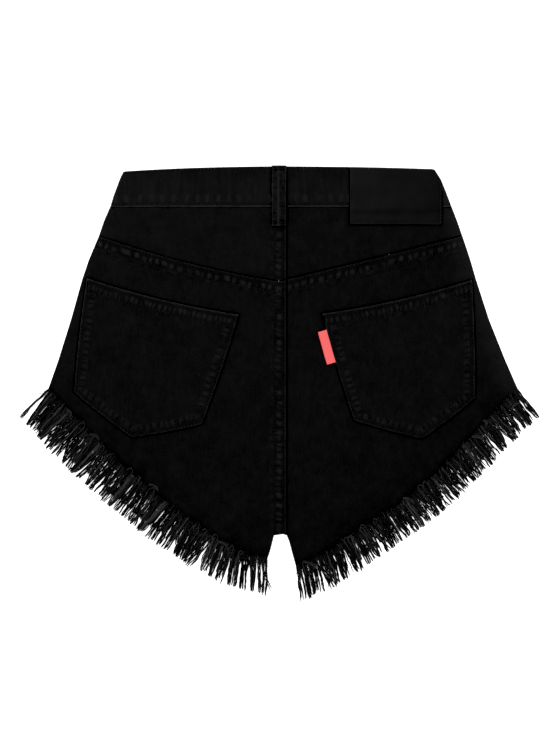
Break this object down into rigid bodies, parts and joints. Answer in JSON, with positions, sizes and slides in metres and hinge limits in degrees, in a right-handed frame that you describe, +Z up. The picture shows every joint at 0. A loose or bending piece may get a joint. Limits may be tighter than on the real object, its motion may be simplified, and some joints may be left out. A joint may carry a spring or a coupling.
{
  "type": "denim shorts",
  "caption": "High-waisted black denim shorts with frayed leg hems, laid out flat on their front, with patch pockets, a yoke, a waistband, a belt loop, a label patch and a ribbon tab.",
  "frame": {"origin": "middle of the outline, on the surface that the shorts lie on", "axes": "+X to the right seen from above, +Y towards the waist, +Z up out of the back of the shorts"},
  "size_m": [0.4845, 0.41, 0.0122],
  "materials": {
    "black_denim": "washed black twill, matt, greyer on seam edges",
    "denim_yarn": "unravelled black cotton yarn",
    "black_leather": "smooth matt black leather patch",
    "coral_ribbon": "woven coral red ribbon",
    "dark_metal": "dark plated metal"
  },
  "bodies": {
    "root": {"back_panel_left": "black_denim", "back_panel_right": "black_denim", "yoke_left": "black_denim", "yoke_right": "black_denim", "front_panel_left": "black_denim", "front_panel_right": "black_denim", "pocket_facing_left": "black_denim", "pocket_facing_right": "black_denim", "back_pocket_left": "black_denim", "back_pocket_right": "black_denim", "waistband": "black_denim", "belt_loop_back": "black_denim", "belt_loop_front_left": "black_denim", "belt_loop_front_right": "black_denim", "fringe_back_left": "denim_yarn", "fringe_back_right": "denim_yarn", "fringe_front_left": "denim_yarn", "fringe_front_right": "denim_yarn", "label_patch": "black_leather", "ribbon_tab": "coral_ribbon", "button": "dark_metal"}
  },
  "joints": []
}
